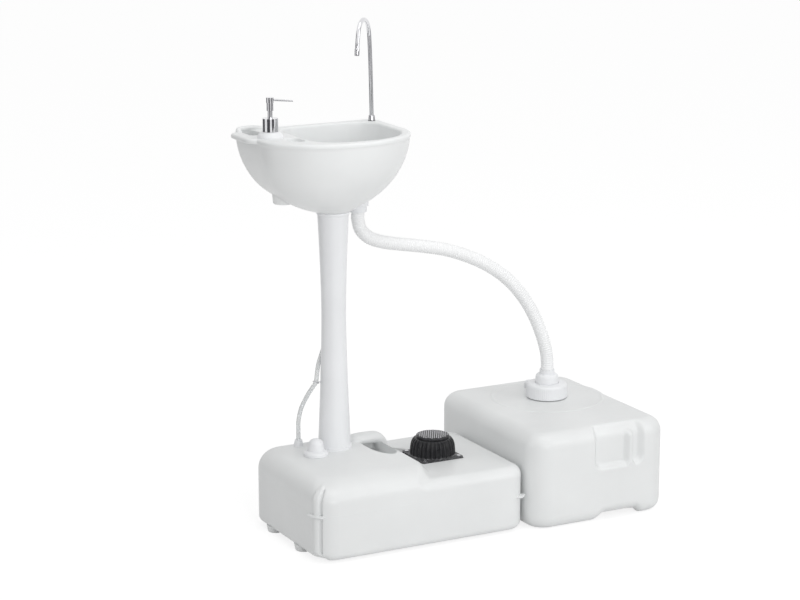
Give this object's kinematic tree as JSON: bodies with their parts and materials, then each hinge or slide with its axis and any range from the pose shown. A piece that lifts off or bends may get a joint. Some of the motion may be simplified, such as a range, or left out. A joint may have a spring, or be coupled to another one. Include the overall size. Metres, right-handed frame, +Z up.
{
  "type": "folding camp wash stand",
  "caption": "Portable camping wash stand: D-shaped basin with gooseneck faucet and soap pump on a flared neck over a fresh-water tank with foot pump, draining by ribbed hose to a waste tank.",
  "frame": {"origin": "centre of the whole stand's footprint, on the floor", "axes": "+Z up, +X along the stand's length towards the waste tank, +Y to the back, away from the user"},
  "size_m": [0.83, 0.416, 1.03],
  "materials": {
    "hdpe_tank": "fine satin, blow moulded",
    "hdpe_white": "satin",
    "basin_plastic": "smooth satin",
    "hose_white": "semi-gloss",
    "hose_clear": "clear, slightly milky",
    "chrome": "polished",
    "steel": "plain wire",
    "black_rubber": "satin",
    "black_plastic": "satin",
    "seal_rubber": "matt",
    "valve_rubber": "matt"
  },
  "bodies": {
    "stand": {"basin": "basin_plastic", "drain_strainer": "chrome", "drain_gasket": "seal_rubber", "drain_tail": "hdpe_white", "drain_nut": "hdpe_white", "faucet_collar": "chrome", "faucet_shank": "chrome", "faucet_washer": "seal_rubber", "faucet_nut": "steel", "faucet_barb": "hdpe_white", "soap_bottle": "hdpe_white", "soap_gasket": "seal_rubber", "soap_collar": "chrome", "soap_barrel": "hdpe_white", "soap_spring": "steel", "soap_dip_tube": "hdpe_white", "neck": "hdpe_white", "neck_ring": "hdpe_white", "base_tank": "hdpe_tank", "pump_flange": "black_plastic", "pump_screws": "steel", "pump_bellows": "black_rubber", "pump_spring": "steel", "pump_chamber": "black_plastic", "pump_valves": "valve_rubber", "suction_tube": "hdpe_white", "suction_strainer": "black_plastic", "inner_hose": "hose_clear", "hose_grommet": "hdpe_white", "supply_hose": "hose_clear", "hose_clip": "steel", "drain_hose": "hose_white", "hose_cuff_top": "hdpe_white", "hose_cuff_bottom": "hdpe_white", "waste_swivel": "hdpe_white", "waste_seal": "seal_rubber", "waste_vent": "hdpe_white", "waste_tank": "hdpe_tank"},
    "faucet": {"faucet_tube": "chrome", "faucet_nozzle": "chrome"},
    "soap_stem": {"soap_stem": "chrome"},
    "soap_head": {"soap_head": "chrome"},
    "tread": {"pump_tread": "black_plastic"},
    "fill_liner": {"fill_cap_liner": "seal_rubber"},
    "fill_cap": {"fill_cap": "hdpe_white"},
    "waste_liner": {"waste_cap_liner": "seal_rubber"},
    "waste_cap": {"waste_cap": "hdpe_white"}
  },
  "joints": [
    {"name": "faucet_swivel", "type": "hinge", "parent": "stand", "child": "faucet", "pos_m": [-0.095, 0.15, 0.812], "axis": [0, 0, 1], "range_deg": [-110, 110]},
    {"name": "soap_press", "type": "slide", "parent": "stand", "child": "soap_stem", "axis": [0, 0, -1], "range_m": [0, 0.013], "stiffness_N_per_m": 350, "springref_m": -0.006, "deforming": ["soap_spring"]},
    {"name": "soap_turn", "type": "hinge", "parent": "soap_stem", "child": "soap_head", "pos_m": [-0.365, 0.061, 0.87], "axis": [0, 0, 1], "continuous": true},
    {"name": "foot_pump", "type": "slide", "parent": "stand", "child": "tread", "axis": [0, 0, -1], "range_m": [0, 0.024], "stiffness_N_per_m": 1800, "springref_m": -0.004, "deforming": ["pump_bellows", "pump_spring"]},
    {"name": "fill_cap_rise", "type": "slide", "parent": "stand", "child": "fill_liner", "axis": [0, 0, 1], "range_m": [0, 0.0046]},
    {"name": "fill_cap_turn", "type": "hinge", "parent": "fill_liner", "child": "fill_cap", "pos_m": [-0.292, 0.018, 0.165], "axis": [0, 0, 1], "range_deg": [0, 540]},
    {"name": "waste_cap_rise", "type": "slide", "parent": "stand", "child": "waste_liner", "axis": [0, 0, 1], "range_m": [0, 0.0091]},
    {"name": "waste_cap_turn", "type": "hinge", "parent": "waste_liner", "child": "waste_cap", "pos_m": [0.273, 0.049, 0.214], "axis": [0, 0, 1], "range_deg": [0, 540]}
  ],
  "couplings": [
    {"joint": "fill_cap_rise", "follows": "fill_cap_turn", "m_per_rad": 0.00047746},
    {"joint": "waste_cap_rise", "follows": "waste_cap_turn", "m_per_rad": 0.00095493}
  ]
}
